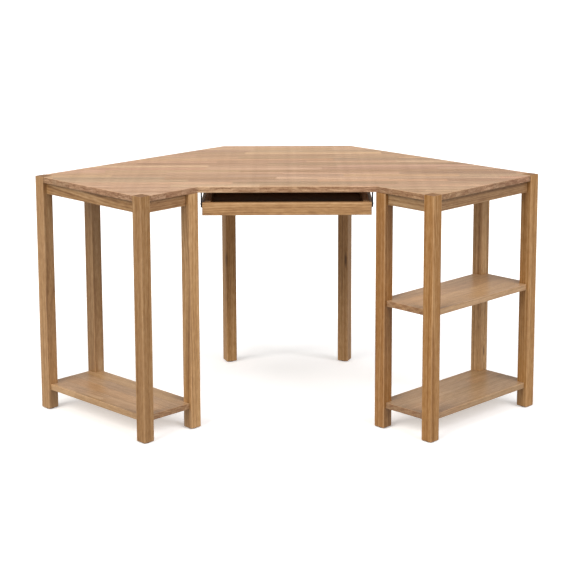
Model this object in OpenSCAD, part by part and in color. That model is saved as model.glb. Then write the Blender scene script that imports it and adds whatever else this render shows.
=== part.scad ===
// Corner desk: a worktop on two leg frames and two rear legs, three shelves
// and a drawer that hangs on ball slides below the sitter's edge.
// Millimetres, +Z up. The desk is symmetric about X = 0, apart from its shelves,
// and the sitter is on the -Y side. The origin is on the floor, below the middle
// of the desk's bounding box.
//
// Each wing has its own coordinates: s runs along its wall from the room corner,
// and t runs from the wall into the room.

/* [Desk] */
// Height of the worktop's upper face
desk_h = 750; // [690:5:800]
// Length of each wing along its wall, from the room corner
wall_len = 1106; // [1096:1:1200]
// Depth of each wing, from its wall to its front face
wing_depth = 505; // [460:1:512]
// Length that the cut-off room corner takes from each wall
corner_cut = 312; // [260:1:350]
// Width of each leg frame along the wall
frame_w = 226; // [200:1:234]
// Distance from a rear leg's middle to the worktop's corner above it
rear_leg_in = 56; // [50:1:80]

/* [Timber] */
// Side of the square legs
leg_w = 38; // [36:1:44]
// Thickness of the worktop
top_t = 18; // [16:1:25]
// Setback of the worktop's edges from the leg faces
top_in = 2; // [1:0.5:4]
// Height of the aprons and rear rails
apron_h = 36; // [34:1:60]
// Thickness of the aprons and rear rails
apron_t = 18; // [16:1:20]
// Setback of the aprons from the leg faces
apron_in = 14; // [8:1:16]
// Chamfer round each foot
foot_chamfer = 2; // [1:0.5:4]

/* [Shelves] */
// Height of the two bottom shelves' upper face
bottom_shelf_h = 83; // [60:1:150]
// Height of the right frame's middle shelf
middle_shelf_h = 403; // [300:1:500]
// Thickness of the shelves
shelf_t = 18; // [16:1:22]
// Setback of the shelf edges from the leg faces
shelf_in = 9; // [4:1:12]

/* [Drawer] */
// Width of the drawer front
drawer_w = 509; // [440:1:512]
// Depth of the drawer from front to back
drawer_d = 320; // [280:1:380]
// Height of the drawer's front, sides and back
drawer_h = 38; // [36:1:50]
// Thickness of the drawer's front, sides and back
drawer_t = 18; // [15:1:20]
// Open slot between the worktop and the drawer
drawer_gap = 32; // [28:1:60]
// How far the drawer pulls out
drawer_travel = 200; // [120:5:205]

/* [Hidden] */
$fn = 48;

oak = "burlywood";
left = -1;
right = 1;

// Gap between pieces that fit round each other, and radial slip of pins in bores
fit_gap = 0.2;
pin_slip = 0.05;
// A length that is longer than any piece
far = 3000;

// Plan of the desk
under_top = desk_h - top_t;
apron_z = under_top - apron_h;
apron_mid = apron_in + apron_t / 2;
inner_s = wall_len - frame_w;
outer_s = wall_len;
room_corner_y = (wall_len + wing_depth + corner_cut) / (2 * sqrt(2));
front_y = room_corner_y - (inner_s + wing_depth) / sqrt(2);

// Rear legs stand square to the bisector of the worktop's 135 degree corner
corner_half = 67.5;
rear_leg_s = corner_cut + rear_leg_in * cos(corner_half);
rear_leg_t = rear_leg_in * sin(corner_half);
rear_leg_turn = 90 - corner_half;
// Where a rail's middle line crosses the face of a rear leg, from the leg's middle
rear_leg_reach = leg_w / 2 / cos(rear_leg_turn);

// Wooden dowels, and their heights as shares of the apron's height: lengthways
// aprons and crossways aprons take turns, so that their dowels miss each other
dowel_d = 6;
dowel_len = 30;
long_rows = [0.2, 0.6];
cross_rows = [0.4, 0.8];
shelf_dowel_in = (shelf_in + leg_w) / 2;

// Glides under the feet
glide_d = 26;
glide_t = 3;
glide_pin_d = 5;
glide_pin_len = 12;

// Steel angle plates that hold the worktop down
plate_arm = 20;
plate_w = 16;
plate_t = 2;
plate_screw_at = 12;
plate_rows = [0.3, 0.7];

// Wood screws: shank diameter, length, head diameter and head height
plate_screw = [3.5, 14, 7, 2];
hanger_screw = [4, 14, 8, 2.2];
rail_screw = [4, 50, 8, 2.4];
runner_screw = [3, 12, 5.8, 1.6];

// Ball slides: x runs from the hanger's web to the drawer's side, y runs back from
// the slide's front end, and z is measured from the middle of its height
slide_t = 10;
slide_h = 17;
slide_sheet = 1;
slide_stop_gap = 0.3;
slide_stop_half = 3;
channel_mouth = 1.6;
channel_lip = 0.5;
slide_behind_front = 2;
slide_len = drawer_d - drawer_t - slide_behind_front;
runner_flange_h = 8.4;
runner_flange_x = 2.6;
ball_d = 2.8;
ball_x = 5.6;
ball_z = 5.85;
ball_count = 8;
cage_x = 1.4;
cage_sheet = 0.6;
cage_end_gap = 3;
cage_len = slide_len - drawer_travel - 2 * cage_end_gap;

// Hangers: two folded steel straps a side, screwed up into the worktop, that each
// start at a distance behind the slide's front end
hanger_sheet = 1.5;
hanger_strap = 22;
hanger_starts = [0, slide_len - hanger_strap - 20];
hanger_flange = 25;
hanger_lip = 4.6;
hanger_low_lip = 3.6;
hanger_screw_xs = [7.5, 18.5];
rivet_d = 4;
rivet_head_d = 7;
rivet_head_h = 1.2;
runner_rows = [0.14, 0.5, 0.82];

// Drawer
drawer_setback = 3;
drawer_lap = 6.5;
drawer_bottom_t = 4.8;
groove_w = 5;
groove_deep = 6;
groove_z = 4;
side_x = drawer_w / 2 - drawer_lap;
side_in_x = side_x - drawer_t;
drawer_y = front_y + drawer_setback;
drawer_z = under_top - drawer_gap - drawer_h;
slide_y = drawer_y + drawer_t + slide_behind_front;
slide_z = drawer_z + drawer_h - slide_h / 2;
hanger_x = side_x + slide_t;
drawer_dowel_rows = [0.42, 0.8];
drawer_dowel_len = 24;
bottom_slack = 0.5;

// A box between two corners
module block(low, high) {
    translate(low) cube(high - low);
}

// Children drawn for the left half of the desk, mirrored for the right
module half(side) {
    mirror([side == right ? 1 : 0, 0, 0]) children();
}

// Children given in wing coordinates
module wing(side) {
    half(side) translate([0, room_corner_y, 0]) rotate([0, 0, 225]) children();
}

// A point in wing coordinates as a point of the desk's plan
function plan(side, s, t) = [side * (s - t) / sqrt(2), room_corner_y - (s + t) / sqrt(2)];

function shelf_levels(side) = side == left ? [bottom_shelf_h] : [bottom_shelf_h, middle_shelf_h];

// Cylinder round the origin, with its length centred
module pin(d, len) {
    cylinder(h = len, d = d, center = true);
}

// Screw that enters along +Z, with the underside of its cross-slotted head at z = 0
module screw(size) {
    cylinder(h = size[1], d = size[0]);
    difference() {
        translate([0, 0, -size[3]]) cylinder(h = size[3], d = size[2]);
        for (turn = [0, 90]) {
            rotate([0, 0, turn]) translate([0, 0, -size[3]])
                cube([size[2] * 0.6, size[2] * 0.16, size[3]], center = true);
        }
    }
}

module screw_bore(size) {
    translate([0, 0, -0.5]) cylinder(h = size[1] + 1, d = size[0] + 2 * pin_slip);
}

// ---- Places that several pieces share ----

// Dowels between the legs and aprons of one frame, in wing coordinates
module at_frame_dowels() {
    for (s = [inner_s + apron_mid, outer_s - apron_mid], t = [leg_w, wing_depth - leg_w]) {
        for (row = long_rows) {
            translate([s, t, apron_z + row * apron_h]) rotate([90, 0, 0]) children();
        }
    }
    for (s = [inner_s + leg_w, outer_s - leg_w], t = [apron_mid, wing_depth - apron_mid]) {
        for (row = cross_rows) {
            translate([s, t, apron_z + row * apron_h]) rotate([0, 90, 0]) children();
        }
    }
}

// Dowels between the legs and shelves of one frame, in wing coordinates
module at_shelf_dowels(side) {
    for (level = shelf_levels(side), t = [leg_w, wing_depth - leg_w]) {
        for (s = [inner_s + shelf_dowel_in, outer_s - shelf_dowel_in]) {
            translate([s, t, level - shelf_t / 2]) rotate([90, 0, 0]) children();
        }
    }
}

module at_corner_leg(side) {
    wing(side) translate([rear_leg_s, rear_leg_t, 0]) rotate([0, 0, -rear_leg_turn]) children();
}

// Dowels between the rear legs and the rear rails
module at_rear_dowels() {
    for (side = [left, right]) {
        for (row = long_rows) {
            wing(side) translate([rear_leg_s + rear_leg_reach, rear_leg_t, apron_z + row * apron_h])
                rotate([0, 90, 0]) children();
        }
        leg_middle = plan(side, rear_leg_s, rear_leg_t);
        for (row = cross_rows) {
            translate([leg_middle[0] - side * rear_leg_reach, leg_middle[1], apron_z + row * apron_h])
                rotate([0, 90, 0]) children();
        }
    }
}

// Screws through each inner apron into the end of its rear rail
module at_rear_rail_screws() {
    for (side = [left, right], row = cross_rows) {
        wing(side) translate([inner_s + apron_in + apron_t, rear_leg_t, apron_z + row * apron_h])
            rotate([0, -90, 0]) children();
    }
}

// Angle plates: the apron's face is the plane x = 0, and the worktop is at z = 0
module at_top_plates() {
    for (side = [left, right]) {
        wing(side) translate([0, 0, under_top]) {
            for (t = plate_rows * wing_depth) {
                translate([outer_s - apron_in - apron_t, t, 0]) rotate([0, 0, 180]) children();
                translate([inner_s + apron_in + apron_t, t, 0]) children();
            }
            frame_mid = inner_s + frame_w / 2;
            rail_mid = (inner_s + rear_leg_s) / 2;
            translate([frame_mid, wing_depth - apron_in - apron_t, 0]) rotate([0, 0, -90]) children();
            translate([frame_mid, apron_in + apron_t, 0]) rotate([0, 0, 90]) children();
            translate([rail_mid, rear_leg_t + apron_t / 2, 0]) rotate([0, 0, 90]) children();
        }
    }
    translate([0, plan(left, rear_leg_s, rear_leg_t)[1] - apron_t / 2, under_top])
        rotate([0, 0, -90]) children();
}

module at_plate_screws() {
    at_top_plates() {
        translate([plate_screw_at, 0, -plate_t]) children();
        translate([plate_t, 0, -plate_screw_at]) rotate([0, -90, 0]) children();
    }
}

// Slide coordinates of one side of the drawer
module slide(side) {
    half(side) translate([-hanger_x, slide_y, slide_z]) children();
}

module at_hanger_screws(side) {
    flange_z = under_top - hanger_sheet - slide_z;
    for (start = hanger_starts, x = hanger_screw_xs) {
        slide(side) translate([x, start + hanger_strap / 2, flange_z]) children();
    }
}

module at_rivets(side) {
    for (start = hanger_starts) {
        slide(side) translate([-hanger_sheet, start + hanger_strap / 2, 0]) rotate([0, 90, 0]) children();
    }
}

module at_runner_screws(side) {
    for (row = runner_rows) {
        slide(side) translate([slide_t - slide_sheet, row * slide_len, 0]) rotate([0, 90, 0]) children();
    }
}

// Dowels of the drawer: the front's lie along Y and the back's lie along X
module at_drawer_dowels() {
    for (x = [-1, 1], row = drawer_dowel_rows) {
        translate([x * (side_x - drawer_t / 2), drawer_y + drawer_t, drawer_z + row * drawer_h])
            rotate([90, 0, 0]) children();
        translate([x * side_in_x, drawer_y + drawer_d - drawer_t / 2, drawer_z + row * drawer_h])
            rotate([0, 90, 0]) children();
    }
}

// ---- Worktop ----

// Corners of one wing's edge, from the cut room corner round to the sitter's edge,
// with the notches that its two end legs stand in
function wing_outline(side) = [
    for (p = [
        [corner_cut - top_in, top_in],
        [outer_s - leg_w - fit_gap, top_in],
        [outer_s - leg_w - fit_gap, leg_w + fit_gap],
        [outer_s - top_in, leg_w + fit_gap],
        [outer_s - top_in, wing_depth - leg_w - fit_gap],
        [outer_s - leg_w - fit_gap, wing_depth - leg_w - fit_gap],
        [outer_s - leg_w - fit_gap, wing_depth - top_in],
        [inner_s + top_in, wing_depth - top_in],
    ]) plan(side, p[0], p[1])
];

function reversed(list) = [for (i = [len(list) - 1:-1:0]) list[i]];

module table_top() {
    color(oak) difference() {
        translate([0, 0, under_top]) linear_extrude(top_t)
            polygon(concat(wing_outline(left), reversed(wing_outline(right))));
        at_plate_screws() screw_bore(plate_screw);
        for (side = [left, right]) {
            at_hanger_screws(side) screw_bore(hanger_screw);
        }
    }
}

// ---- Legs ----

// Side view of a leg with its chamfered foot, carried through its width
module leg_profile(top_z) {
    foot = glide_t + foot_chamfer;
    translate([0, leg_w, 0]) rotate([90, 0, 0]) linear_extrude(leg_w) polygon([
        [foot_chamfer, glide_t],
        [leg_w - foot_chamfer, glide_t],
        [leg_w, foot],
        [leg_w, top_z],
        [0, top_z],
        [0, foot],
    ]);
}

// Square leg whose low corner is at (x, y), bored for its glide
module leg_blank(x, y, top_z) {
    translate([x, y, 0]) difference() {
        intersection() {
            leg_profile(top_z);
            translate([leg_w, 0, 0]) rotate([0, 0, 90]) leg_profile(top_z);
        }
        translate([leg_w / 2, leg_w / 2, glide_t])
            cylinder(h = glide_pin_len, d = glide_pin_d + 2 * pin_slip);
    }
}

// Leg of a frame: s and t are its low corner in wing coordinates
module frame_leg(side, s, t, top_z) {
    color(oak) wing(side) difference() {
        leg_blank(s, t, top_z);
        at_frame_dowels() pin(dowel_d + 2 * pin_slip, dowel_len);
        at_shelf_dowels(side) pin(dowel_d + 2 * pin_slip, dowel_len);
    }
}

module end_rear_leg(side) {
    frame_leg(side, outer_s - leg_w, 0, desk_h);
}

module end_front_leg(side) {
    frame_leg(side, outer_s - leg_w, wing_depth - leg_w, desk_h);
}

module inner_front_leg(side) {
    frame_leg(side, inner_s, wing_depth - leg_w, under_top);
}

module inner_rear_leg(side) {
    frame_leg(side, inner_s, 0, under_top);
}

module corner_leg(side) {
    color(oak) difference() {
        at_corner_leg(side) leg_blank(-leg_w / 2, -leg_w / 2, under_top);
        at_rear_dowels() pin(dowel_d + 2 * pin_slip, dowel_len);
    }
}

module leg_glides() {
    color("dimgray") {
        for (side = [left, right]) {
            for (s = [inner_s, outer_s - leg_w], t = [0, wing_depth - leg_w]) {
                wing(side) translate([s + leg_w / 2, t + leg_w / 2, 0]) glide();
            }
            at_corner_leg(side) glide();
        }
    }
}

module glide() {
    cylinder(h = glide_t, d = glide_d);
    cylinder(h = glide_t + glide_pin_len - 1, d = glide_pin_d);
}

// ---- Aprons and rails ----

// Apron between two corners of a frame's plan, in wing coordinates
module apron(side, low, high) {
    color(oak) difference() {
        wing(side) block([low[0], low[1], apron_z], [high[0], high[1], under_top]);
        wing(side) at_frame_dowels() pin(dowel_d + 2 * pin_slip, dowel_len);
        at_plate_screws() screw_bore(plate_screw);
        at_rear_rail_screws() screw_bore(rail_screw);
    }
}

module end_apron(side) {
    s = outer_s - apron_in;
    apron(side, [s - apron_t, leg_w], [s, wing_depth - leg_w]);
}

module inner_apron(side) {
    s = inner_s + apron_in;
    apron(side, [s, leg_w], [s + apron_t, wing_depth - leg_w]);
}

module front_apron(side) {
    t = wing_depth - apron_in;
    apron(side, [inner_s + leg_w, t - apron_t], [outer_s - leg_w, t]);
}

module wall_apron(side) {
    apron(side, [inner_s + leg_w, apron_in], [outer_s - leg_w, apron_in + apron_t]);
}

// Rail from a frame's inner apron to the slanted face of a rear leg
module rear_rail(side) {
    color(oak) difference() {
        wing(side) block(
            [rear_leg_s, rear_leg_t - apron_t / 2, apron_z],
            [inner_s + apron_in, rear_leg_t + apron_t / 2, under_top]
        );
        at_corner_leg(side) block([-far, -far, 0], [leg_w / 2, far, desk_h]);
        at_rear_dowels() pin(dowel_d + 2 * pin_slip, dowel_len);
        at_plate_screws() screw_bore(plate_screw);
        at_rear_rail_screws() screw_bore(rail_screw);
    }
}

// Rail between the two rear legs
module center_rear_rail() {
    leg_middle = plan(right, rear_leg_s, rear_leg_t);
    color(oak) difference() {
        block(
            [-leg_middle[0], leg_middle[1] - apron_t / 2, apron_z],
            [leg_middle[0], leg_middle[1] + apron_t / 2, under_top]
        );
        for (side = [left, right]) {
            at_corner_leg(side) block([-leg_w / 2, -far, 0], [far, far, desk_h]);
        }
        at_rear_dowels() pin(dowel_d + 2 * pin_slip, dowel_len);
        at_plate_screws() screw_bore(plate_screw);
    }
}

// ---- Shelves ----

// Shelf with a notch for each leg
module shelf(side, level) {
    color(oak) wing(side) difference() {
        block(
            [inner_s + shelf_in, shelf_in, level - shelf_t],
            [outer_s - shelf_in, wing_depth - shelf_in, level]
        );
        for (s = [inner_s, outer_s - leg_w], t = [0, wing_depth - leg_w]) {
            block(
                [s - fit_gap, t - fit_gap, level - shelf_t - 1],
                [s + leg_w + fit_gap, t + leg_w + fit_gap, level + 1]
            );
        }
        at_shelf_dowels(side) pin(dowel_d + 2 * pin_slip, dowel_len);
    }
}

// ---- Fixings of the desk ----

module frame_dowels(side) {
    color("wheat") wing(side) at_frame_dowels() pin(dowel_d, dowel_len);
}

module rear_rail_dowels() {
    color("wheat") at_rear_dowels() pin(dowel_d, dowel_len);
}

module shelf_dowels() {
    color("wheat") for (side = [left, right]) {
        wing(side) at_shelf_dowels(side) pin(dowel_d, dowel_len);
    }
}

module rear_rail_screws() {
    color("silver") at_rear_rail_screws() screw(rail_screw);
}

module top_plates() {
    color("dimgray") at_top_plates() difference() {
        union() {
            block([0, -plate_w / 2, -plate_arm], [plate_t, plate_w / 2, 0]);
            block([0, -plate_w / 2, -plate_t], [plate_arm, plate_w / 2, 0]);
        }
        translate([plate_screw_at, 0, 0]) pin(plate_screw[0] + 1, 3 * plate_t);
        translate([0, 0, -plate_screw_at]) rotate([0, 90, 0]) pin(plate_screw[0] + 1, 3 * plate_t);
    }
}

module top_plate_screws() {
    color("silver") at_plate_screws() screw(plate_screw);
}

// ---- Hangers and ball slides ----

module hanger(side) {
    sheet = hanger_sheet;
    top = under_top - slide_z;
    color("black") difference() {
        slide(side) {
            for (start = hanger_starts) {
                block([-sheet, start, -slide_h / 2], [0, start + hanger_strap, top]);
                block([-sheet, start, top - sheet], [hanger_flange, start + hanger_strap, top]);
            }
            // folded front edge, narrower beside the slide so that the runner passes it
            block([-sheet, -sheet, -slide_h / 2], [hanger_low_lip - sheet, 0, slide_h / 2]);
            block([-sheet, -sheet, slide_h / 2], [hanger_lip - sheet, 0, top]);
        }
        at_rivets(side) pin(rivet_d + 2 * pin_slip, 3 * hanger_sheet);
        at_hanger_screws(side) pin(hanger_screw[0] + 0.6, 4 * hanger_sheet);
    }
}

module hanger_screws() {
    color("silver") for (side = [left, right]) {
        at_hanger_screws(side) screw(hanger_screw);
    }
}

module hanger_rivets() {
    color("silver") for (side = [left, right]) {
        at_rivets(side) {
            cylinder(h = hanger_sheet + slide_sheet, d = rivet_d);
            translate([0, 0, -rivet_head_h]) cylinder(h = rivet_head_h, d = rivet_head_d);
        }
    }
}

// Fixed member: a channel whose lips keep the balls in
module slide_channel(side) {
    open_x = slide_t - channel_mouth;
    inside = slide_h / 2 - slide_sheet;
    color("silver") difference() {
        slide(side) {
            block([0, 0, -slide_h / 2], [slide_sheet, slide_len, slide_h / 2]);
            for (up = [0, 1]) {
                mirror([0, 0, up]) {
                    block([0, 0, inside], [open_x, slide_len, slide_h / 2]);
                    block([open_x - channel_lip, 0, inside - channel_lip],
                        [open_x, slide_len, slide_h / 2]);
                }
            }
            // stop for the closed drawer
            block([0, slide_len - slide_sheet, -slide_stop_half], [open_x, slide_len, slide_stop_half]);
        }
        at_rivets(side) pin(rivet_d + 2 * pin_slip, 4 * hanger_sheet);
    }
}

// Moving member: a rail with two flanges that run on the balls
module slide_runner(side) {
    run_len = slide_len - slide_sheet - slide_stop_gap;
    web_z = slide_h / 2 - slide_sheet;
    flange_z = runner_flange_h / 2;
    color("silver") difference() {
        slide(side) {
            block([slide_t - slide_sheet, 0, -web_z], [slide_t, run_len, web_z]);
            for (up = [0, 1]) {
                mirror([0, 0, up])
                    block([runner_flange_x, 0, flange_z - slide_sheet], [slide_t, run_len, flange_z]);
            }
        }
        at_runner_screws(side) pin(runner_screw[0] + 0.4, 4 * slide_sheet);
    }
}

// Children at every ball of one slide
module at_balls(side) {
    pitch = cage_len / ball_count;
    first = drawer_travel / 2 + cage_end_gap + pitch / 2;
    for (i = [0:ball_count - 1], up = [-1, 1]) {
        slide(side) translate([ball_x, first + i * pitch, up * ball_z]) children();
    }
}

// Cage that spaces the balls and follows the drawer at half its speed
module ball_cage(side) {
    start = drawer_travel / 2 + cage_end_gap;
    end = start + cage_len;
    reach = ball_x + ball_d / 2 + 0.4;
    high = ball_z + cage_sheet / 2;
    color("goldenrod") difference() {
        slide(side) {
            block([cage_x, start, -high], [cage_x + cage_sheet, end, high]);
            for (up = [0, 1]) {
                mirror([0, 0, up]) block([cage_x, start, high - cage_sheet], [reach, end, high]);
            }
        }
        at_balls(side) pin(ball_d + 0.4, 2);
    }
}

module slide_balls(side) {
    color("silver") at_balls(side) sphere(d = ball_d);
}

module runner_screws() {
    color("silver") for (side = [left, right]) {
        at_runner_screws(side) screw(runner_screw);
    }
}

// ---- Drawer ----

// Space that the bottom panel's groove takes out of the front, sides and back
module drawer_groove() {
    reach = side_in_x + groove_deep;
    inset = drawer_t - groove_deep;
    block(
        [-reach, drawer_y + inset, drawer_z + groove_z],
        [reach, drawer_y + drawer_d - inset, drawer_z + groove_z + groove_w]
    );
}

module drawer_panel(low, high) {
    color(oak) difference() {
        block([low[0], drawer_y + low[1], drawer_z], [high[0], drawer_y + high[1], drawer_z + drawer_h]);
        drawer_groove();
        at_drawer_dowels() pin(dowel_d + 2 * pin_slip, drawer_dowel_len);
        for (side = [left, right]) {
            at_runner_screws(side) screw_bore(runner_screw);
        }
    }
}

module drawer_front() {
    drawer_panel([-drawer_w / 2, 0], [drawer_w / 2, drawer_t]);
}

module drawer_side(side) {
    x = side == left ? -side_x : side_in_x;
    drawer_panel([x, drawer_t], [x + drawer_t, drawer_d]);
}

module drawer_back() {
    drawer_panel([-side_in_x, drawer_d - drawer_t], [side_in_x, drawer_d]);
}

module drawer_bottom() {
    reach = side_in_x + groove_deep - bottom_slack;
    inset = drawer_t - groove_deep + bottom_slack;
    low_z = drawer_z + groove_z + (groove_w - drawer_bottom_t) / 2;
    color("saddlebrown") block(
        [-reach, drawer_y + inset, low_z],
        [reach, drawer_y + drawer_d - inset, low_z + drawer_bottom_t]
    );
}

module drawer_dowels() {
    color("wheat") at_drawer_dowels() pin(dowel_d, drawer_dowel_len);
}

table_top();
end_rear_leg(left);  // left_end_rear_leg
end_front_leg(left);  // left_end_front_leg
inner_front_leg(left);  // left_inner_front_leg
inner_rear_leg(left);  // left_inner_rear_leg
end_rear_leg(right);  // right_end_rear_leg
end_front_leg(right);  // right_end_front_leg
inner_front_leg(right);  // right_inner_front_leg
inner_rear_leg(right);  // right_inner_rear_leg
corner_leg(left);  // left_corner_leg
corner_leg(right);  // right_corner_leg
end_apron(left);  // left_end_apron
front_apron(left);  // left_front_apron
inner_apron(left);  // left_inner_apron
wall_apron(left);  // left_wall_apron
end_apron(right);  // right_end_apron
front_apron(right);  // right_front_apron
inner_apron(right);  // right_inner_apron
wall_apron(right);  // right_wall_apron
rear_rail(left);  // left_rear_rail
rear_rail(right);  // right_rear_rail
center_rear_rail();
shelf(left, bottom_shelf_h);  // left_bottom_shelf
shelf(right, bottom_shelf_h);  // right_bottom_shelf
shelf(right, middle_shelf_h);  // right_middle_shelf
frame_dowels(left);  // left_frame_dowels
frame_dowels(right);  // right_frame_dowels
rear_rail_dowels();
shelf_dowels();
rear_rail_screws();
top_plates();
top_plate_screws();
leg_glides();
hanger(left);  // left_hanger
hanger(right);  // right_hanger
hanger_screws();
hanger_rivets();
slide_channel(left);  // left_slide_channel
slide_channel(right);  // right_slide_channel
ball_cage(left);  // left_ball_cage
ball_cage(right);  // right_ball_cage
slide_balls(left);  // left_slide_balls
slide_balls(right);  // right_slide_balls
slide_runner(left);  // left_slide_runner
slide_runner(right);  // right_slide_runner
runner_screws();
drawer_front();
drawer_side(left);  // drawer_left_side
drawer_side(right);  // drawer_right_side
drawer_back();
drawer_bottom();
drawer_dowels();
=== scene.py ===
import math
import random

import bmesh
import bpy
from mathutils import Matrix, Vector


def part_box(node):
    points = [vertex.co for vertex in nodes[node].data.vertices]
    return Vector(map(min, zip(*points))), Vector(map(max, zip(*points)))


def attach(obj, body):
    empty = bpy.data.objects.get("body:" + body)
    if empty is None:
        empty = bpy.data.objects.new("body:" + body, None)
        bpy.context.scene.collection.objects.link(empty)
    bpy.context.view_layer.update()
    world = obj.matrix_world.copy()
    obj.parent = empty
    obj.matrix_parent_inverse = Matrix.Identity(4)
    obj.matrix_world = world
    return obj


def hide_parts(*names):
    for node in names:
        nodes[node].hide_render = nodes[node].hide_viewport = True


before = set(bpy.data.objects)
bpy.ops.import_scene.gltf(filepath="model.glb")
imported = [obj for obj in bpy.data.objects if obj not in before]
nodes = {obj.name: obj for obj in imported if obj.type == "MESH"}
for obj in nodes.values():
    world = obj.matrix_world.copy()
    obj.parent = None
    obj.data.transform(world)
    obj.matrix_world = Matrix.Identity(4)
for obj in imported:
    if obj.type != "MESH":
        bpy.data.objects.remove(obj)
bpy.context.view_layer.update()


def tint(red, green, blue):
    # display colour, 0 to 255, as the linear colour that the shaders use
    channels = []
    for value in (red, green, blue):
        share = value / 255
        channels.append(share / 12.92 if share <= 0.04045 else ((share + 0.055) / 1.055) ** 2.4)
    return (*channels, 1.0)


class Shader:
    # one Principled material and the nodes that feed it
    def __init__(self, name):
        self.material = bpy.data.materials.new(name)
        self.material.use_nodes = True
        self.tree = self.material.node_tree
        self.surface = self.tree.nodes["Principled BSDF"]

    def add(self, kind, inputs=None, **settings):
        node = self.tree.nodes.new(kind)
        for key, value in settings.items():
            setattr(node, key, value)
        for key, value in (inputs or {}).items():
            self.feed(node.inputs[key], value)
        return node

    def feed(self, socket, value):
        if isinstance(value, bpy.types.NodeSocket):
            self.tree.links.new(value, socket)
        else:
            socket.default_value = value

    def set(self, name, value):
        self.feed(self.surface.inputs[name], value)

    def calc(self, operation, a, b=0.0, c=0.0):
        return self.add("ShaderNodeMath", {0: a, 1: b, 2: c}, operation=operation).outputs[0]

    def spread(self, chance, middle, width):
        # a chance number from 0 to 1, as a value up to half the width from the middle
        return self.calc("MULTIPLY_ADD", chance, width, middle - width / 2)

    def attribute(self, name, output="Vector"):
        return self.add("ShaderNodeAttribute", attribute_name=name).outputs[output]

    def split(self, vector):
        return self.add("ShaderNodeSeparateXYZ", {0: vector}).outputs[:3]

    def join(self, x=0.0, y=0.0, z=0.0):
        return self.add("ShaderNodeCombineXYZ", {0: x, 1: y, 2: z}).outputs[0]

    def shifted(self, a, b):
        return self.add("ShaderNodeVectorMath", {0: a, 1: b}, operation="ADD").outputs[0]

    def scaled(self, vector, scale):
        return self.add("ShaderNodeVectorMath", {0: vector, 1: scale}, operation="MULTIPLY").outputs[0]

    def noise(self, vector, detail=2.0, roughness=0.5, scale=1.0):
        inputs = {"Vector": vector, "Scale": scale, "Detail": detail, "Roughness": roughness}
        return self.add("ShaderNodeTexNoise", inputs).outputs[0]

    def marks(self, place, scatter, look):
        # noise drawn out by its own count to the metre on each axis
        parts = [self.calc("MULTIPLY", part, count) for part, count in zip(place, look["toMetre"])]
        pattern = self.noise(self.shifted(self.join(*parts), scatter), look["detail"], look["roughness"])
        if "limits" in look:
            pattern = self.remap(pattern, *look["limits"], *look.get("shares", (0.0, 1.0)))
        return pattern

    def dice(self, vector):
        # three chance numbers for each whole-number place
        return self.split(self.add("ShaderNodeTexWhiteNoise", {"Vector": vector}).outputs["Color"])

    def blend(self, layers, shares):
        # the layers added up, each by its share
        total = 0.0
        for name, share in shares.items():
            total = self.calc("MULTIPLY_ADD", layers[name], share, total)
        return total

    def remap(self, value, low, high, newLow=0.0, newHigh=1.0):
        inputs = {"Value": value, "From Min": low, "From Max": high, "To Min": newLow, "To Max": newHigh}
        return self.add("ShaderNodeMapRange", inputs, clamp=True).outputs[0]

    def ramp(self, value, stops):
        node = self.add("ShaderNodeValToRGB", {0: value})
        stripes = node.color_ramp.elements
        while len(stripes) < len(stops):
            stripes.new(0.5)
        for stripe, (place, colour) in zip(stripes, stops):
            stripe.position = place
            stripe.color = tint(*colour)
        return node.outputs[0]

    def mix(self, share, a, b):
        node = self.add("ShaderNodeMix", data_type="RGBA")
        self.feed(node.inputs["Factor"], share)
        self.feed(node.inputs[6], a)  # 6, 7 and 2 are the node's colour sockets
        self.feed(node.inputs[7], b)
        return node.outputs[2]

    def bump(self, height, strength, distance):
        inputs = {"Height": height, "Strength": strength, "Distance": distance}
        self.set("Normal", self.add("ShaderNodeBump", inputs).outputs[0])


standpoint = {
    "place": (-0.0047, -5.1617, 1.6662),
    "lookDown": 10.13,  # degrees
    "turn": 0.01,  # degrees to the left
    "tilt": -0.2,  # degrees
    "lens": 104.6,
    "sensor": 36.0,
    "shiftY": -0.2,
    "farthest": 200.0,
}


def setCamera():
    camera = bpy.data.objects.new("deskCamera", bpy.data.cameras.new("deskCamera"))
    bpy.context.scene.collection.objects.link(camera)
    camera.data.lens = standpoint["lens"]
    camera.data.sensor_width = standpoint["sensor"]
    camera.data.shift_y = standpoint["shiftY"]
    camera.data.clip_end = standpoint["farthest"]
    heading = Matrix.Rotation(math.radians(standpoint["turn"]), 4, "Z")
    nod = Matrix.Rotation(math.radians(90 - standpoint["lookDown"]), 4, "X")
    lean = Matrix.Rotation(math.radians(standpoint["tilt"]), 4, "Z")
    camera.matrix_world = Matrix.Translation(standpoint["place"]) @ heading @ nod @ lean
    bpy.context.scene.camera = camera


# how bright the room is in each direction
room = {
    "backdrop": 1.0,  # what the camera sees behind the floor
    "round": 0.4,  # light that comes from all round
    "horizon": 0.5,  # bright paper low down on every side
    "horizonTop": 0.30,  # sine of the height where it ends
    "fromBelow": 0.5,  # what the pale floor throws back
}


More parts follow.
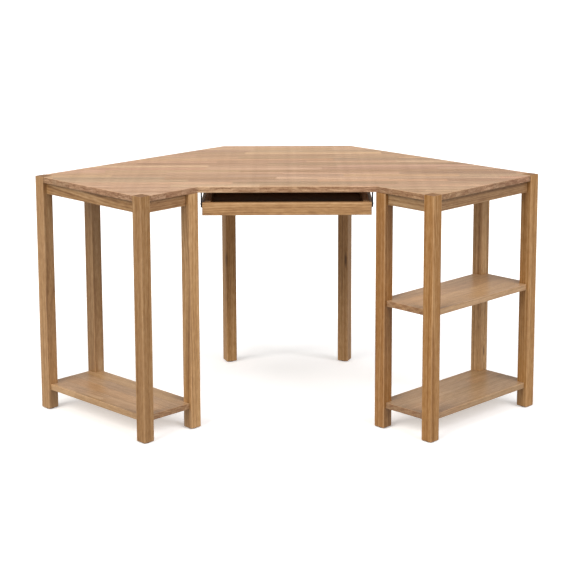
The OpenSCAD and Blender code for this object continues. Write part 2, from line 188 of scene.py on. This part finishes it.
def setRoom():
    world = bpy.data.worlds.new("studioRoom")
    world.use_nodes = True
    tree = world.node_tree
    background = tree.nodes["Background"]
    background.inputs["Color"].default_value = tint(255, 255, 255)
    direction = tree.nodes.new("ShaderNodeTexCoord")
    split = tree.nodes.new("ShaderNodeSeparateXYZ")
    band = tree.nodes.new("ShaderNodeMapRange")
    band.interpolation_type = "SMOOTHSTEP"
    band.inputs["From Min"].default_value = 0.0
    band.inputs["From Max"].default_value = room["horizonTop"]
    band.inputs["To Min"].default_value = room["horizon"]
    band.inputs["To Max"].default_value = room["round"]
    below = tree.nodes.new("ShaderNodeMath")
    below.operation = "LESS_THAN"
    below.inputs[1].default_value = 0.0
    lower = tree.nodes.new("ShaderNodeMix")
    lower.inputs["B"].default_value = room["fromBelow"]
    seen = tree.nodes.new("ShaderNodeLightPath")
    level = tree.nodes.new("ShaderNodeMix")
    level.inputs["B"].default_value = room["backdrop"]
    tree.links.new(direction.outputs["Generated"], split.inputs[0])
    tree.links.new(split.outputs["Z"], band.inputs["Value"])
    tree.links.new(split.outputs["Z"], below.inputs[0])
    tree.links.new(below.outputs[0], lower.inputs["Factor"])
    tree.links.new(band.outputs[0], lower.inputs["A"])
    tree.links.new(seen.outputs["Is Camera Ray"], level.inputs["Factor"])
    tree.links.new(lower.outputs["Result"], level.inputs["A"])
    tree.links.new(level.outputs["Result"], background.inputs["Strength"])
    bpy.context.scene.world = world
    bpy.context.scene.view_settings.view_transform = "Standard"


# suns as wide as softboxes, so that the floor is lit evenly: compass side, height and width in degrees
lamps = {
    "keySoftbox": {"side": -44, "height": 38, "width": 38, "power": 2.35, "warmth": (255, 251, 246)},
    "fillSoftbox": {"side": 46, "height": 38, "width": 38, "power": 1.95, "warmth": (253, 252, 255)},
}
lampDistance = 6.0  # only where its icon stands, as a sun shines the same from any distance


def setLamps():
    for name, lamp in lamps.items():
        light = bpy.data.lights.new(name, "SUN")
        light.energy = lamp["power"]
        light.angle = math.radians(lamp["width"])
        light.color = tint(*lamp["warmth"])[:3]
        side = math.radians(lamp["side"])
        height = math.radians(lamp["height"])
        level = Vector((math.sin(side), -math.cos(side), 0)) * math.cos(height)
        direction = level + Vector((0, 0, math.sin(height)))
        holder = bpy.data.objects.new(name, light)
        holder.location = direction * lampDistance
        holder.rotation_euler = direction.to_track_quat("Z", "Y").to_euler()
        bpy.context.scene.collection.objects.link(holder)


paperFloor = {
    "size": 60.0,
    "tint": (249, 249, 248),
    "roughness": 0.9,
    "shine": 0.1,
    "glow": 0.35,  # it is lit from beneath, which thins the shadows
}


def setFloor():
    reach = paperFloor["size"] / 2
    mesh = bpy.data.meshes.new("studioFloor")
    corners = [(-reach, -reach, 0), (reach, -reach, 0), (reach, reach, 0), (-reach, reach, 0)]
    mesh.from_pydata(corners, [], [(0, 1, 2, 3)])
    floor = bpy.data.objects.new("studioFloor", mesh)
    bpy.context.scene.collection.objects.link(floor)
    paper = Shader("floorPaper")
    paper.set("Base Color", tint(*paperFloor["tint"]))
    paper.set("Roughness", paperFloor["roughness"])
    paper.set("Specular IOR Level", paperFloor["shine"])
    paper.set("Emission Color", tint(255, 255, 255))
    paper.set("Emission Strength", paperFloor["glow"])
    mesh.materials.append(paper.material)
    floor.visible_diffuse = False  # the room's fromBelow stands in for what it would throw back
    floor.visible_glossy = False
    floor.visible_shadow = False


oakLook = {
    # from early wood to late wood
    "streaks": [(0.33, (206, 167, 128)), (0.5, (176, 133, 93)), (0.67, (134, 94, 61))],
    "streakShares": {"broad": 0.54, "rings": 0.1, "flecks": 0.2, "mottle": 0.16},
    "heart": (0.03, 0.22),  # least metres from the timber to the tree's heart, and how many more
    "ringWidth": 0.0032,  # metres
    "ringWave": 0.004,  # metres
    "grainWave": 2.4,  # waves to the metre
    "grainBend": 0.013,  # metres
    "grainLean": 0.016,  # metres to the metre
    "knotBend": 0.006,  # metres that the grain swells round a knot
    "pore": (112, 74, 44),
    "poreShare": 0.5,
    "lateWoodPores": 0.3,  # share of the pores that late wood has
    "knot": (72, 44, 24),
    "glue": (120, 82, 50),
    # eased edges are painted paler: partly a painted highlight where they catch the light, partly the
    # paleness of sanding
    "arris": (226, 190, 150),
    "arrisSandingAndHighlightShare": 0.15,
    "cutEnd": (118, 77, 46),
    "roughness": (0.36, 0.54),
    "dullness": {"handled": 0.6, "pores": 0.5, "cut": 0.4},
    "handled": 9.0,  # patches to the metre
    "shine": 0.45,
    "bump": 0.00016,  # metres
    "bumpStrength": 0.6,
    "ringRelief": 0.25,  # as a share of a pore's depth
}

# marks in the grain: how many to the metre along, across and through the board, and what their
# noise stands for between its limits
oakMarks = {
    "broad": {"alongMetre": 1.3, "detail": 4.0, "roughness": 0.68},
    "flecks": {"toMetre": (38.0, 330.0, 330.0), "detail": 2.0, "roughness": 0.6},
    "mottle": {"toMetre": (42.0, 120.0, 120.0), "detail": 2.0, "roughness": 0.6},
    "pores": {"toMetre": (60.0, 1500.0, 1500.0), "detail": 1.0, "roughness": 0.5,
              "limits": (0.58, 0.72)},
    "cutDots": {"toMetre": (300.0, 420.0, 420.0), "detail": 2.0, "roughness": 0.5,
                "limits": (0.42, 0.66), "shares": (0.65, 1.0)},
    "cutBlotches": {"toMetre": (38.0, 38.0, 210.0), "detail": 3.0, "roughness": 0.6,
                    "limits": (0.38, 0.6), "shares": (0.4, 1.0)},
}

# tone and richness of the wood, and how far the pieces or staves differ in tone and hue;
# a stave is its width and length in metres
oakKinds = {
    # the worktop's higher tone and lower richness are painted sheen: its boards are made paler and greyer,
    # standing in for the light its upper face reflects
    "oakWorktop": {"tone": 1.26, "richness": 0.88, "hue": 0.501, "toneSpread": 0.48, "hueSpread": 0.022,
                   "richnessSpread": 0.12, "streakWidth": 0.0083, "contrast": 1.3, "stave": (0.042, 0.38)},
    "oakShelves": {"tone": 1.04, "richness": 0.92, "hue": 0.508, "toneSpread": 0.16, "hueSpread": 0.006,
                   "richnessSpread": 0.1, "streakWidth": 0.007, "contrast": 0.85, "stave": (0.046, 0.7),
                   "boardSpread": 0.3, "roughness": (0.26, 0.44)},
    "oakLegs": {"tone": 0.94, "richness": 1.06, "hue": 0.5055, "toneSpread": 0.5, "hueSpread": 0.016,
                "richnessSpread": 0.26, "streakWidth": 0.0052, "contrast": 1.15, "knots": True},
    "oakAprons": {"tone": 0.8, "richness": 1.02, "hue": 0.504, "toneSpread": 0.16, "hueSpread": 0.010,
                  "richnessSpread": 0.1, "streakWidth": 0.0056, "contrast": 1.35},
    "oakDrawer": {"tone": 0.93, "richness": 1.02, "hue": 0.503, "toneSpread": 0.08, "hueSpread": 0.006,
                  "richnessSpread": 0.06, "streakWidth": 0.009, "contrast": 1.15},
}

staveJoints = {
    "shortest": 0.55,  # as a share of the kind's stave length
    "lengthSpread": 0.9,
    "fingers": 5,  # in a stave's width
    "fingerSlope": 1.6,
    "rowShift": 2.0,  # metres
    "glueLine": (0.0002, 0.0007),  # metres from the joint: full until, gone at
    "glueShare": 0.55,
}

# sizes in metres; slimness is a knot's width as a share of its length
knotLook = {"slimness": 0.18, "core": (0.0022, 0.0062), "darkness": 0.72, "swell": (0.003, 0.02)}


def glueStaves(shader, stave, along, across, seeds):
    # rows of staves with fingered ends: each stave's chance numbers, the way across it, and the glue
    joints = staveJoints
    width, length = stave
    row = shader.calc("FLOOR", shader.calc("DIVIDE", across, width))
    rowDice = shader.dice(shader.join(row, seeds[0], 0.5))
    ownLength = shader.calc("MULTIPLY_ADD", rowDice[0], length * joints["lengthSpread"],
                            length * joints["shortest"])
    fingers = shader.calc("PINGPONG", across, width / (2 * joints["fingers"]))
    reach = shader.calc("MULTIPLY_ADD", fingers, joints["fingerSlope"], along)
    reach = shader.calc("MULTIPLY_ADD", rowDice[1], joints["rowShift"], reach)
    run = shader.calc("DIVIDE", reach, ownLength)
    dice = shader.dice(shader.join(row, shader.calc("FLOOR", run), seeds[1]))
    inner = shader.calc("SUBTRACT", across, shader.calc("MULTIPLY", row, width))
    fromMiddle = shader.calc("ABSOLUTE", shader.calc("SUBTRACT", inner, width / 2))
    rowEdge = shader.calc("SUBTRACT", width / 2, fromMiddle)
    endEdge = shader.calc("MULTIPLY", shader.calc("FRACT", run), ownLength)
    full, gone = joints["glueLine"]
    glue = shader.remap(shader.calc("MINIMUM", rowEdge, endEdge), full, gone, joints["glueShare"], 0.0)
    return dice, inner, glue


def addKnot(shader, along, across, deep):
    # darkness of the timber's one knot, and how much the grain swells round it
    spot = shader.split(shader.attribute("knotSpot"))
    size = shader.attribute("knotSize", "Fac")
    lengthways = shader.calc("MULTIPLY", shader.calc("SUBTRACT", along, spot[0]), knotLook["slimness"])
    sideways = shader.calc("SUBTRACT", across, spot[1])
    inwards = shader.calc("SUBTRACT", deep, spot[2])
    far = shader.calc("MULTIPLY", lengthways, lengthways)
    far = shader.calc("MULTIPLY_ADD", sideways, sideways, far)
    far = shader.calc("SQRT", shader.calc("MULTIPLY_ADD", inwards, inwards, far))
    reach = shader.calc("DIVIDE", far, shader.calc("MAXIMUM", size, 0.001))  # a size of 0 is no knot
    core = shader.remap(reach, *knotLook["core"], knotLook["darkness"], 0.0)
    swell = shader.calc("MULTIPLY", shader.remap(reach, *knotLook["swell"], 1.0, 0.0), size)
    return core, swell


def growRings(shader, place, dice, scatter, swell):
    # growth rings round a heart that lies beside the timber: distance from it, and the way
    # through each ring from 0 to 1
    along, inner, deep = place
    nearest, more = oakLook["heart"]
    heart = shader.calc("MULTIPLY_ADD", dice[0], more, nearest)
    turn = shader.calc("MULTIPLY", dice[1], 2 * math.pi)
    wave = shader.noise(shader.shifted(shader.join(*place), scatter), detail=1.0,
                        scale=oakLook["grainWave"])
    wave = shader.calc("SUBTRACT", wave, 0.5)
    lean = shader.calc("MULTIPLY", along, shader.spread(dice[2], 0.0, oakLook["grainLean"]))
    bend = shader.calc("MULTIPLY_ADD", wave, oakLook["grainBend"], lean)
    if swell:
        bend = shader.calc("MULTIPLY_ADD", swell, oakLook["knotBend"], bend)
    sideways = shader.calc("MULTIPLY_ADD", shader.calc("COSINE", turn), heart, inner)
    sideways = shader.calc("ADD", sideways, bend)
    inwards = shader.calc("MULTIPLY_ADD", shader.calc("SINE", turn), heart, deep)
    inwards = shader.calc("ADD", inwards, bend)
    age = shader.calc("MULTIPLY", inwards, inwards)
    age = shader.calc("SQRT", shader.calc("MULTIPLY_ADD", sideways, sideways, age))
    half = oakLook["ringWidth"] / 2
    rings = shader.calc("PINGPONG", shader.calc("MULTIPLY_ADD", wave, oakLook["ringWave"], age), half)
    return age, shader.calc("DIVIDE", rings, half)


def streakColour(shader, kind, place, age, rings, scatter):
    broad = oakMarks["broad"]
    streaks = shader.join(shader.calc("MULTIPLY", place[0], broad["alongMetre"]),
                          shader.calc("DIVIDE", age, kind["streakWidth"]))
    layers = {
        "broad": shader.noise(shader.shifted(streaks, scatter), broad["detail"], broad["roughness"]),
        "rings": rings,
        "flecks": shader.marks(place, scatter, oakMarks["flecks"]),
        "mottle": shader.marks(place, scatter, oakMarks["mottle"]),
    }
    blended = shader.blend(layers, oakLook["streakShares"])
    return shader.ramp(shader.spread(blended, 0.5, kind["contrast"]), oakLook["streaks"])


def cutEndShare(shader, cut, place, scatter):
    # ends cut across the grain drink in more finish, in dots and blotches
    dots = shader.marks(place, scatter, oakMarks["cutDots"])
    blotches = shader.marks(place, scatter, oakMarks["cutBlotches"])
    return shader.calc("MULTIPLY", cut, shader.calc("MULTIPLY", dots, blotches))


def oak(name):
    # solid timber, or glued staves where the kind has a stave size
    look = oakLook
    kind = oakKinds[name]
    shader = Shader(name)
    along, across, deep = shader.split(shader.attribute("boardPlace"))
    seed = shader.attribute("boardSeed")
    seeds = shader.split(seed)
    scatter = shader.scaled(seed, (37.0, 53.0, 71.0))  # takes each board to its own part of the noise
    glue = knot = swell = None
    dice, inner = seeds, across
    if "stave" in kind:
        dice, inner, glue = glueStaves(shader, kind["stave"], along, across, seeds)
    if "knots" in kind:
        knot, swell = addKnot(shader, along, across, deep)
    place = (along, inner, deep)
    age, rings = growRings(shader, place, dice, scatter, swell)

    pores = shader.marks(place, scatter, oakMarks["pores"])
    pores = shader.calc("MULTIPLY", pores, shader.remap(rings, 0.0, 1.0, 1.0, look["lateWoodPores"]))
    colour = streakColour(shader, kind, place, age, rings, scatter)
    colour = shader.mix(shader.calc("MULTIPLY", pores, look["poreShare"]), colour, tint(*look["pore"]))
    if knot:
        colour = shader.mix(knot, colour, tint(*look["knot"]))

    value = shader.spread(dice[0], kind["tone"], kind["toneSpread"])
    if "boardSpread" in kind:
        value = shader.calc("ADD", value, shader.spread(seeds[0], 0.0, kind["boardSpread"]))
    richness = shader.spread(dice[2], kind["richness"], kind["richnessSpread"])
    hue = shader.spread(dice[1], kind["hue"], kind["hueSpread"])
    toned = {"Hue": hue, "Saturation": richness, "Value": value, "Color": colour}
    colour = shader.add("ShaderNodeHueSaturation", toned).outputs[0]

    arris = shader.calc("MULTIPLY", shader.attribute("arris", "Fac"), look["arrisSandingAndHighlightShare"])
    colour = shader.mix(arris, colour, tint(*look["arris"]))  # painted highlight along the eased edges; sanded edges are paler too
    cut = shader.attribute("cutEnd", "Fac")
    colour = shader.mix(cutEndShare(shader, cut, place, scatter), colour, tint(*look["cutEnd"]))
    if glue:
        colour = shader.mix(glue, colour, tint(*look["glue"]))
    shader.set("Base Color", colour)

    smooth, dull = kind.get("roughness", look["roughness"])
    handled = shader.noise(shader.shifted(shader.join(*place), scatter), scale=look["handled"])
    dullness = shader.blend({"handled": handled, "pores": pores, "cut": cut}, look["dullness"])
    shader.set("Roughness", shader.remap(dullness, 0.0, 1.0, smooth, dull))
    shader.set("Specular IOR Level", look["shine"])
    height = shader.calc("SUBTRACT", shader.calc("MULTIPLY", rings, look["ringRelief"]), pores)
    if glue:
        height = shader.calc("SUBTRACT", height, glue)
    shader.bump(height, look["bumpStrength"], look["bump"])
    return shader.material


panelLook = {
    # browns darker than the oak: partly the board's own colour, partly painted shade
    "tones": [(0.3, (104, 68, 42)), (0.7, (136, 94, 60))],
    "fibres": 420.0,  # to the metre
    "clouds": 9.0,
    "shares": {"fibres": 0.45, "clouds": 0.55},
    "roughness": (0.45, 0.62),
    "bump": 0.0001,  # metres
    "bumpStrength": 0.4,
}


def darkAndShadedPanel():
    # hardboard with a lacquered face, coloured darker than the oak: partly its own dark lacquer, partly
    # painted shade for the drawer's inside under the worktop
    look = panelLook
    shader = Shader("darkAndShadedPanel")
    place = shader.attribute("boardPlace")
    fibres = shader.noise(place, detail=3.0, roughness=0.6, scale=look["fibres"])
    clouds = shader.noise(place, detail=3.0, scale=look["clouds"])
    shade = shader.blend({"fibres": fibres, "clouds": clouds}, look["shares"])
    dark, light = [place for place, colour in look["tones"]]
    shader.set("Base Color", shader.ramp(shade, look["tones"]))
    shader.set("Roughness", shader.remap(shade, dark, light, *look["roughness"]))
    shader.bump(fibres, look["bumpStrength"], look["bump"])
    return shader.material


# every board is lofted from its CAD part's upper face: ease rounds the edges of its two faces and
# corner those between, foot bevels a leg's end, and rim is how far its edge looks like a cut end
topSettings = {"slot": "oak_worktop", "grain": (1, 0, 0), "ease": 0.0016, "corner": 0.003, "rim": 1.0}
legSettings = {"slot": "oak_legs", "grain": (0, 0, 1), "ease": 0.0008, "corner": 0.003, "foot": 0.002}
apronSettings = {"slot": "oak_aprons", "ease": 0.0008, "corner": 0.0008}
shelfSettings = {"slot": "oak_shelves", "ease": 0.0012, "corner": 0.002, "rim": 0.2}
drawerSettings = {"slot": "oak_drawer", "ease": 0.0010, "corner": 0.0012}
panelSettings = {"slot": "dark_panel", "ease": 0.0003, "corner": 0.0004}
hollowCorner = 0.0004  # fillet in a notch, metres
arcSteps = 4

sameSpot = 1e-6  # metres
sameHeight = 1e-5  # metres
straight = 1e-4  # sine of a bend that doesn't count as a corner


def cross(a, b):
    return a.x * b.y - a.y * b.x


def upperOutline(node):
    # corners of the upper face of a CAD part, anticlockwise from above
    work = bmesh.new()
    work.from_mesh(nodes[node].data)
    bmesh.ops.remove_doubles(work, verts=work.verts, dist=sameSpot)
    top = max(vertex.co.z for vertex in work.verts)
    upper = [face for face in work.faces if all(abs(v.co.z - top) < sameHeight for v in face.verts)]
    rim = {}
    for face in upper:
        for loop in face.loops:
            a, b = loop.vert, loop.link_loop_next.vert
            if rim.pop((b.index, a.index), None) is None:  # an edge that two faces share drops out
                rim[(a.index, b.index)] = a.co.copy()
    follow = {a: (b, place) for (a, b), place in rim.items()}
    start = spot = min(follow)
    points = []
    while True:
        spot, place = follow[spot]
        points.append(Vector((place.x, place.y)))
        if spot == start:
            break
    work.free()
    kept = []
    for i, point in enumerate(points):
        before = (point - points[i - 1]).normalized()
        after = (points[(i + 1) % len(points)] - point).normalized()
        if abs(cross(before, after)) > straight:
            kept.append(point)
    area = sum(cross(a, b) for a, b in zip(kept, kept[1:] + kept[:1]))
    return kept if area > 0 else kept[::-1]


def insetRing(outline, corner, inset):
    # the outline pulled in by inset, with an arc at each corner
    ring = []
    for i, point in enumerate(outline):
        before = (point - outline[i - 1]).normalized()
        after = (outline[(i + 1) % len(outline)] - point).normalized()
        turning = cross(before, after)
        bulge = 1 if turning > 0 else -1
        radius = corner if bulge > 0 else hollowCorner
        half = math.atan2(abs(turning), before.dot(after)) / 2
        inward = (after - before).normalized() * bulge
        centre = point + inward * bulge * radius / math.cos(half)
        first = math.atan2(-before.x * bulge, before.y * bulge)
        for step in range(arcSteps + 1):
            angle = first + bulge * 2 * half * step / arcSteps
            reach = radius - inset * bulge
            ring.append(centre + Vector((math.cos(angle), math.sin(angle))) * reach)
    return ring


def edgeProfile(low, high, settings):
    # (height, inset) of each ring from the lower face to the upper one
    ease = settings["ease"]
    turns = [math.pi / 2 * step / arcSteps for step in range(arcSteps + 1)]
    foot = settings.get("foot")
    if foot:
        lower = [(low, foot), (low + foot, 0.0)]
    else:
        lower = [(low + ease - ease * math.cos(a), ease - ease * math.sin(a)) for a in turns]
    upper = [(high - ease + ease * math.sin(a), ease - ease * math.cos(a)) for a in turns]
    return lower + upper


def boardAxes(outline, settings):
    # directions along the grain, across it, and through the board
    if "grain" in settings:
        along = Vector(settings["grain"]).normalized()
    else:
        edges = [b - a for a, b in zip(outline, outline[1:] + outline[:1])]
        along = max(edges, key=lambda edge: edge.length).to_3d().normalized()
    if abs(along.z) > 0.5:  # the grain stands upright
        across = (outline[1] - outline[0]).to_3d().normalized()
    else:
        across = Vector((0, 0, 1)).cross(along)
    return along, across, along.cross(across)


# how light, yellow and rich each timber is, from 0 to 1: they were not cut from one plank
timberTones = {
    "left_end_rear_leg": (0.5, 0.48, 0.4), "left_end_front_leg": (0.1, 0.36, 0.66),
    "left_inner_front_leg": (0.84, 0.55, 0.45), "left_inner_rear_leg": (0.26, 0.5, 0.45),
    "left_corner_leg": (0.56, 0.4, 0.8), "right_corner_leg": (0.42, 0.4, 0.65),
    "right_inner_rear_leg": (0.86, 0.7, 0.4), "right_inner_front_leg": (0.18, 0.12, 0.9),
    "right_end_front_leg": (0.2, 0.2, 0.95), "right_end_rear_leg": (0.42, 0.36, 0.8),
    # the right middle shelf's high tone is painted sheen, standing in for the light reflected off its face
    "right_middle_shelf": (0.95, 0.5, 0.5), "right_bottom_shelf": (0.12, 0.4, 0.6),
    "left_bottom_shelf": (0.62, 0.6, 0.5),
}

# a knot's place, as steps in X and Y from the middle of its leg and its height above the floor,
# and its size
knots = {
    "left_corner_leg": ((-0.0095, -0.0235, 0.367), 1.0),
    "right_corner_leg": ((0.0025, -0.0215, 0.364), 1.0),
    "right_inner_rear_leg": ((0.0134, -0.0134, 0.148), 0.6),
}

# how squarely a face has to look along the grain, or through the board, to be of each kind
faceKinds = {"cutFrom": 0.3, "cutRange": 0.4, "edge": 0.5, "arris": (0.12, 0.99)}


def writeLayer(mesh, name, domain, values):
    # numbers or vectors for the shader, one for each point or face
    single = isinstance(values[0], float)
    layer = mesh.attributes.new(name, "FLOAT" if single else "FLOAT_VECTOR", domain)
    flat = values if single else [number for value in values for number in value]
    layer.data.foreach_set("value" if single else "vector", flat)


def describeTimber(mesh, axes, name, rim):
    # where each point lies in its board, the board's own chance numbers and knot, and which
    # faces are cut ends or eased edges that get the painted highlight
    along, across, deep = axes
    count = len(mesh.vertices)
    middle = sum((vertex.co for vertex in mesh.vertices), Vector()) / count

    def inBoard(step):
        return (step.dot(along), step.dot(across), step.dot(deep))

    draw = random.Random(name)
    seed = timberTones.get(name, [draw.random() for number in range(3)])
    spot, size = knots.get(name, ((0, 0, 0), 0.0))
    spot = inBoard(Vector(spot) - Vector((0, 0, middle.z)))
    cut = []
    arris = []
    for face in mesh.polygons:
        endways = (abs(face.normal.dot(along)) - faceKinds["cutFrom"]) / faceKinds["cutRange"]
        endways = min(1.0, max(0.0, endways))
        flat = abs(face.normal.dot(deep))
        cut.append(max(endways, rim) if flat < faceKinds["edge"] else endways)
        # eased edge faces, marked for the painted highlight and the paleness of sanding
        arris.append(1.0 if faceKinds["arris"][0] < flat < faceKinds["arris"][1] else 0.0)
    writeLayer(mesh, "boardPlace", "POINT", [inBoard(vertex.co - middle) for vertex in mesh.vertices])
    writeLayer(mesh, "boardSeed", "POINT", [seed] * count)
    writeLayer(mesh, "knotSpot", "POINT", [spot] * count)
    writeLayer(mesh, "knotSize", "POINT", [size] * count)
    writeLayer(mesh, "cutEnd", "FACE", cut)
    writeLayer(mesh, "arris", "FACE", arris)


def camelName(node):
    words = node.split("_")
    return words[0] + "".join(word.capitalize() for word in words[1:])


def makeBoard(node, settings, material, body):
    outline = upperOutline(node)
    low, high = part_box(node)
    mesh = bpy.data.meshes.new(camelName(node))
    work = bmesh.new()
    rings = []
    for height, inset in edgeProfile(low.z, high.z, settings):
        points = insetRing(outline, settings["corner"], inset)
        rings.append([work.verts.new((p.x, p.y, height)) for p in points])
    work.faces.new(list(reversed(rings[0])))
    work.faces.new(rings[-1])
    for under, over in zip(rings, rings[1:]):
        for i in range(len(under)):
            j = (i + 1) % len(under)
            work.faces.new((under[i], under[j], over[j], over[i]))
    bmesh.ops.recalc_face_normals(work, faces=work.faces)
    work.to_mesh(mesh)
    work.free()
    describeTimber(mesh, boardAxes(outline, settings), node, settings.get("rim", 0.0))
    mesh.shade_smooth()
    mesh.materials.append(material)
    board = bpy.data.objects.new(camelName(node), mesh)
    bpy.context.scene.collection.objects.link(board)
    shading = board.modifiers.new("flatFaces", "WEIGHTED_NORMAL")
    shading.weight = 100
    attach(board, body)
    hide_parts(node)


def makeTimber():
    legs = oak("oakLegs")
    aprons = oak("oakAprons")
    shelves = oak("oakShelves")
    drawer = oak("oakDrawer")
    makeBoard("table_top", topSettings, oak("oakWorktop"), "desk")
    for side in ("left", "right"):
        for leg in ("end_rear_leg", "end_front_leg", "inner_front_leg", "inner_rear_leg", "corner_leg"):
            makeBoard(f"{side}_{leg}", legSettings, legs, "desk")
        for apron in ("end_apron", "front_apron", "inner_apron", "wall_apron", "rear_rail"):
            makeBoard(f"{side}_{apron}", apronSettings, aprons, "desk")
        makeBoard(f"{side}_bottom_shelf", shelfSettings, shelves, "desk")
        makeBoard(f"drawer_{side}_side", drawerSettings, drawer, "drawer")
    makeBoard("center_rear_rail", apronSettings, aprons, "desk")
    makeBoard("right_middle_shelf", shelfSettings, shelves, "desk")
    makeBoard("drawer_front", drawerSettings, drawer, "drawer")
    makeBoard("drawer_back", drawerSettings, drawer, "drawer")
    makeBoard("drawer_bottom", panelSettings, darkAndShadedPanel(), "drawer")


# dark and light tone, marks to the metre, roughness range, metal or not, depth of bump and size of
# the softened edges in metres
finishes = {
    "beechDowel": {"tones": [(196, 160, 118), (214, 182, 142)], "marks": 160, "roughness": (0.5, 0.7),
                   "bump": 0.00005},
    "blackSteel": {"tones": [(15, 17, 22), (27, 30, 37)], "marks": 900, "roughness": (0.42, 0.6),
                   "bump": 0.00006, "edge": 0.0003},
    "darkPlate": {"tones": [(58, 58, 60), (76, 76, 78)], "marks": 500, "roughness": (0.38, 0.55),
                  "bump": 0.00004, "metal": 0.7, "edge": 0.0004},
    "slideSteel": {"tones": [(168, 172, 178), (196, 199, 204)], "marks": 350, "roughness": (0.24, 0.4),
                   "bump": 0.00003, "metal": 1.0},
    "bearingSteel": {"tones": [(196, 198, 200), (216, 218, 220)], "marks": 900, "roughness": (0.08, 0.16),
                     "bump": 0.00001, "metal": 1.0},
    "brassCage": {"tones": [(176, 140, 70), (204, 168, 92)], "marks": 300, "roughness": (0.28, 0.42),
                  "bump": 0.00002, "metal": 1.0},
    "screwSteel": {"tones": [(150, 150, 146), (186, 186, 180)], "marks": 800, "roughness": (0.25, 0.45),
                   "bump": 0.00003, "metal": 1.0},
    "blackPlastic": {"tones": [(28, 27, 26), (44, 42, 40)], "marks": 700, "roughness": (0.45, 0.7),
                     "bump": 0.00005, "edge": 0.0006},
}
fittingLook = {
    "toneLimits": (0.35, 0.65),  # of the noise, for the dark tone and the light one
    "clouds": 14.0,  # to the metre
    "shares": {"grain": 0.5, "clouds": 0.5},
    "bumpStrength": 0.5,
    "sharpAngle": 40,  # degrees between two faces, from where their edge is softened
}

dressing = {
    "beechDowel": ["left_frame_dowels", "right_frame_dowels", "rear_rail_dowels", "shelf_dowels",
                   "drawer_dowels"],
    "blackSteel": ["left_hanger", "right_hanger"],
    "darkPlate": ["top_plates"],
    "slideSteel": ["left_slide_channel", "right_slide_channel", "left_slide_runner", "right_slide_runner"],
    "bearingSteel": ["left_slide_balls", "right_slide_balls"],
    "brassCage": ["left_ball_cage", "right_ball_cage"],
    "screwSteel": ["rear_rail_screws", "top_plate_screws", "hanger_screws", "hanger_rivets",
                   "runner_screws"],
    "blackPlastic": ["leg_glides"],
}


def finish(name):
    look = finishes[name]
    shader = Shader(name)
    place = shader.add("ShaderNodeTexCoord").outputs["Object"]
    grain = shader.noise(place, detail=3.0, roughness=0.6, scale=look["marks"])
    clouds = shader.noise(place, detail=3.0, roughness=0.55, scale=fittingLook["clouds"])
    shade = shader.blend({"grain": grain, "clouds": clouds}, fittingLook["shares"])
    dark, light = fittingLook["toneLimits"]
    shader.set("Base Color", shader.ramp(shade, list(zip((dark, light), look["tones"]))))
    shader.set("Roughness", shader.remap(shade, dark, light, *look["roughness"]))
    shader.set("Metallic", look.get("metal", 0.0))
    shader.bump(grain, fittingLook["bumpStrength"], look["bump"])
    return shader.material


def softenEdges(part, size):
    rounding = part.modifiers.new("softEdges", "BEVEL")
    rounding.width = size
    rounding.segments = 2
    rounding.limit_method = "ANGLE"
    rounding.angle_limit = math.radians(fittingLook["sharpAngle"])
    rounding.harden_normals = True


def dressFittings():
    for name, dressed in dressing.items():
        material = finish(name)
        for node in dressed:
            for slot in nodes[node].material_slots:
                slot.material = material
            if "edge" in finishes[name]:
                softenEdges(nodes[node], finishes[name]["edge"])


setCamera()
setRoom()
setLamps()
setFloor()
print("camera, lamps and floor are set")
makeTimber()
print("timber made")
dressFittings()
print("fittings finished")
